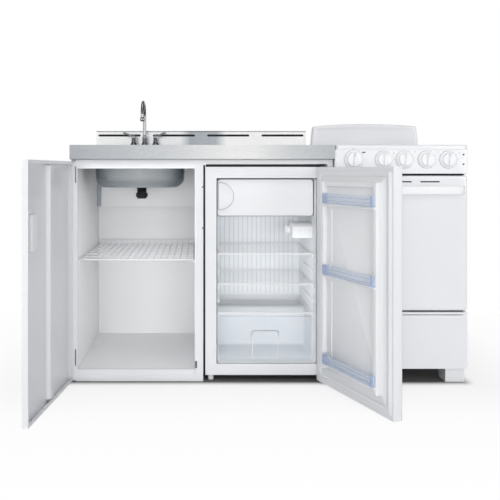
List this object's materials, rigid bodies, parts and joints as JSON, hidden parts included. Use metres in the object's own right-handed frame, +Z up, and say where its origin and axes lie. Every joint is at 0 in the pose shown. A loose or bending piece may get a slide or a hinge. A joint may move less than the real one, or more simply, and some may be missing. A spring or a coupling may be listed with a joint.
{
  "type": "kitchenette unit with sink, refrigerator and electric range",
  "caption": "Steel kitchenette with a stainless counter and sink, a wire-shelf cabinet and an open refrigerator under it, beside a free-standing range with coil hob and oven.",
  "frame": {"origin": "on the floor under the cabinet's divider, below the middle of the counter and half-way back", "axes": "+X to the right seen from the front, +Y to the back, +Z up"},
  "size_m": [1.5869, 1.1151, 1.1334],
  "materials": {
    "white_enamel": "smooth baked white enamel",
    "cabinet_interior": "flat pale grey-white paint",
    "stainless": "brushed along its length",
    "chrome": "polished",
    "black_plastic": "moulded, slightly rough",
    "black_steel": "black paint",
    "oven_enamel": "speckled dark grey enamel",
    "zinc_steel": "zinc plated",
    "white_wire": "white coated wire",
    "white_plastic": "moulded white",
    "liner_plastic": "vacuum formed, satin",
    "seal": "soft extruded vinyl",
    "shelf_glass": "clear float glass",
    "clear_plastic": "clear moulded",
    "blue_plastic": "translucent blue",
    "heating_coil": "dark oxidised tube"
  },
  "bodies": {
    "unit": {"countertop": "stainless", "backsplash": "stainless", "sink_bowl": "stainless", "sink_strainer": "stainless", "drain_tailpiece": "black_plastic", "faucet_base": "chrome", "cabinet_front_frame": "white_enamel", "cabinet_left_side": "cabinet_interior", "cabinet_divider": "cabinet_interior", "cabinet_right_side": "cabinet_interior", "cabinet_floor": "cabinet_interior", "cabinet_back": "cabinet_interior", "cabinet_rear_panel": "cabinet_interior", "wire_shelf": "white_wire", "door_catch": "zinc_steel", "sink_hinge_top": "zinc_steel", "sink_hinge_bottom": "zinc_steel", "fridge_shell": "white_enamel", "fridge_liner": "liner_plastic", "freezer_box": "liner_plastic", "crisper_cover": "shelf_glass", "thermostat_housing": "white_plastic", "compressor": "black_steel", "fridge_hinge_top": "zinc_steel", "fridge_hinge_bottom": "zinc_steel", "range_body": "white_enamel", "oven_cavity": "oven_enamel", "oven_rack": "zinc_steel", "range_cooktop": "white_enamel", "range_backguard": "white_enamel", "range_control_panel": "white_enamel", "coil_front_left": "heating_coil", "coil_rear_left": "heating_coil", "coil_front_right": "heating_coil", "coil_rear_right": "heating_coil"},
    "spout": {"faucet_spout": "chrome"},
    "hot_tap": {"hot_handle": "chrome"},
    "cold_tap": {"cold_handle": "chrome"},
    "sink_door": {"sink_door_panel": "white_enamel", "sink_door_stiffener": "white_enamel", "sink_door_pull": "white_plastic"},
    "fridge_door": {"fridge_door_panel": "white_enamel", "fridge_door_liner": "liner_plastic", "fridge_door_gasket": "seal", "door_rack_top": "blue_plastic", "door_rack_middle": "blue_plastic", "door_rack_bottom": "blue_plastic"},
    "freezer_flap": {"freezer_door": "liner_plastic"},
    "upper_shelf": {"fridge_shelf_upper": "shelf_glass"},
    "lower_shelf": {"fridge_shelf_lower": "shelf_glass"},
    "crisper": {"crisper_drawer": "clear_plastic"},
    "thermostat_dial": {"thermostat_knob": "white_plastic"},
    "oven_door_body": {"oven_door": "white_enamel", "oven_door_handle": "white_plastic"},
    "storage": {"storage_drawer": "white_enamel"},
    "oven_dial": {"oven_knob": "white_plastic"},
    "hob_dial_1": {"hob_knob_1": "white_plastic"},
    "hob_dial_2": {"hob_knob_2": "white_plastic"},
    "hob_dial_3": {"hob_knob_3": "white_plastic"},
    "hob_dial_4": {"hob_knob_4": "white_plastic"}
  },
  "joints": [
    {"name": "spout_swivel", "type": "hinge", "parent": "unit", "child": "spout", "pos_m": [-0.263, 0.235, 1], "axis": [0, 0, 1], "range_deg": [-100, 100]},
    {"name": "hot_handle_turn", "type": "hinge", "parent": "unit", "child": "hot_tap", "pos_m": [-0.3138, 0.235, 0.97], "axis": [0, 0, 1], "range_deg": [0, 90]},
    {"name": "cold_handle_turn", "type": "hinge", "parent": "unit", "child": "cold_tap", "pos_m": [-0.2122, 0.235, 0.97], "axis": [0, 0, -1], "range_deg": [0, 90]},
    {"name": "sink_door_swing", "type": "hinge", "parent": "unit", "child": "sink_door", "pos_m": [-0.502, -0.296, 0.43], "axis": [0, 0, -1], "range_deg": [-96, 9]},
    {"name": "fridge_door_swing", "type": "hinge", "parent": "unit", "child": "fridge_door", "pos_m": [0.465, -0.311, 0.42], "axis": [0, 0, 1], "range_deg": [-111, 0]},
    {"name": "freezer_door_swing", "type": "hinge", "parent": "unit", "child": "freezer_flap", "pos_m": [0.433, -0.233, 0.709], "axis": [0, 0, 1], "range_deg": [0, 75]},
    {"name": "upper_shelf_slide", "type": "slide", "parent": "unit", "child": "upper_shelf", "axis": [0, -1, 0], "range_m": [0, 0.25]},
    {"name": "lower_shelf_slide", "type": "slide", "parent": "unit", "child": "lower_shelf", "axis": [0, -1, 0], "range_m": [0, 0.25]},
    {"name": "crisper_slide", "type": "slide", "parent": "unit", "child": "crisper", "axis": [0, -1, 0], "range_m": [0, 0.2]},
    {"name": "thermostat_turn", "type": "hinge", "parent": "unit", "child": "thermostat_dial", "pos_m": [0.355, -0.13, 0.575], "axis": [1, 0, 0], "range_deg": [-140, 140]},
    {"name": "oven_door_drop", "type": "hinge", "parent": "unit", "child": "oven_door_body", "pos_m": [0.764, -0.31, 0.284], "axis": [1, 0, 0], "range_deg": [0, 6]},
    {"name": "storage_drawer_slide", "type": "slide", "parent": "unit", "child": "storage", "axis": [0, -1, 0], "range_m": [0, 0.05]},
    {"name": "oven_knob_turn", "type": "hinge", "parent": "unit", "child": "oven_dial", "pos_m": [0.58, -0.324, 0.858], "axis": [0, -1, 0], "range_deg": [0, 300]},
    {"name": "hob_knob_1_turn", "type": "hinge", "parent": "unit", "child": "hob_dial_1", "pos_m": [0.694, -0.324, 0.858], "axis": [0, -1, 0], "range_deg": [0, 300]},
    {"name": "hob_knob_2_turn", "type": "hinge", "parent": "unit", "child": "hob_dial_2", "pos_m": [0.774, -0.324, 0.858], "axis": [0, -1, 0], "range_deg": [0, 300]},
    {"name": "hob_knob_3_turn", "type": "hinge", "parent": "unit", "child": "hob_dial_3", "pos_m": [0.8585, -0.324, 0.858], "axis": [0, -1, 0], "range_deg": [0, 300]},
    {"name": "hob_knob_4_turn", "type": "hinge", "parent": "unit", "child": "hob_dial_4", "pos_m": [0.941, -0.324, 0.858], "axis": [0, -1, 0], "range_deg": [0, 300]}
  ]
}
